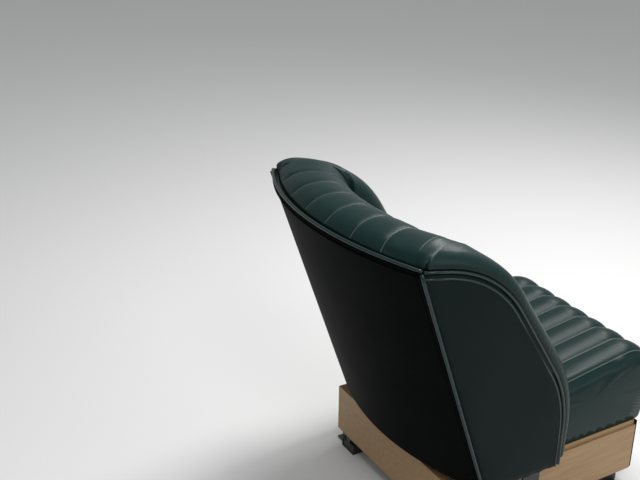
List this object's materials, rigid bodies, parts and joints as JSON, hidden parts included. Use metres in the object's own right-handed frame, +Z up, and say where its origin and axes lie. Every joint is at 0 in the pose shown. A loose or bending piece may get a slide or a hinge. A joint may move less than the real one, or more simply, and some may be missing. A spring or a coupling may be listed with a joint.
{
  "type": "roadster bucket seat",
  "caption": "Low leather bucket seat for an open car: a fluted wrap-round back with rolled edges tips forward over a fluted cushion that slides on floor rails.",
  "frame": {"origin": "on the floor, in the middle of the four floor bolts", "axes": "+X towards the sitter's left, +Y towards the rear of the car, +Z up"},
  "size_m": [0.5, 0.6889, 0.6742],
  "materials": {
    "green_leather": "smooth semi-gloss dark green hide",
    "dark_leather": "near-black green hide",
    "piping_leather": "dark green piping",
    "black_steel": "satin black paint",
    "bright_steel": "plain steel rod",
    "plywood": "varnished plywood",
    "buffer_rubber": "black rubber"
  },
  "bodies": {
    "rails": {"floor_rail_left": "black_steel", "floor_rail_right": "black_steel"},
    "seat_base": {"runner_left": "black_steel", "runner_right": "black_steel", "base_frame": "plywood", "cushion_board": "plywood", "cushion": "green_leather", "front_valance": "dark_leather", "hinge_bracket_left": "black_steel", "hinge_bracket_right": "black_steel", "back_buffer_left": "buffer_rubber", "back_buffer_right": "buffer_rubber", "latch_bar": "bright_steel", "slide_lever": "bright_steel"},
    "backrest": {"back_panel": "dark_leather", "back_shell": "black_steel", "back_pad": "green_leather", "back_bottom_board": "plywood", "back_piping": "piping_leather", "side_panel_left": "green_leather", "side_panel_right": "green_leather", "wing_frame_left": "black_steel", "wing_frame_right": "black_steel", "wing_roll_left": "green_leather", "wing_roll_right": "green_leather", "wing_lining_left": "green_leather", "wing_lining_right": "green_leather", "wing_piping_left": "piping_leather", "wing_piping_right": "piping_leather"}
  },
  "joints": [
    {"name": "seat_slide", "type": "slide", "parent": "rails", "child": "seat_base", "axis": [0, -1, 0], "range_m": [0, 0.12]},
    {"name": "back_tip", "type": "hinge", "parent": "seat_base", "child": "backrest", "pos_m": [0, 0.03804, 0.236], "axis": [1, 0, 0], "range_deg": [0, 45]}
  ]
}
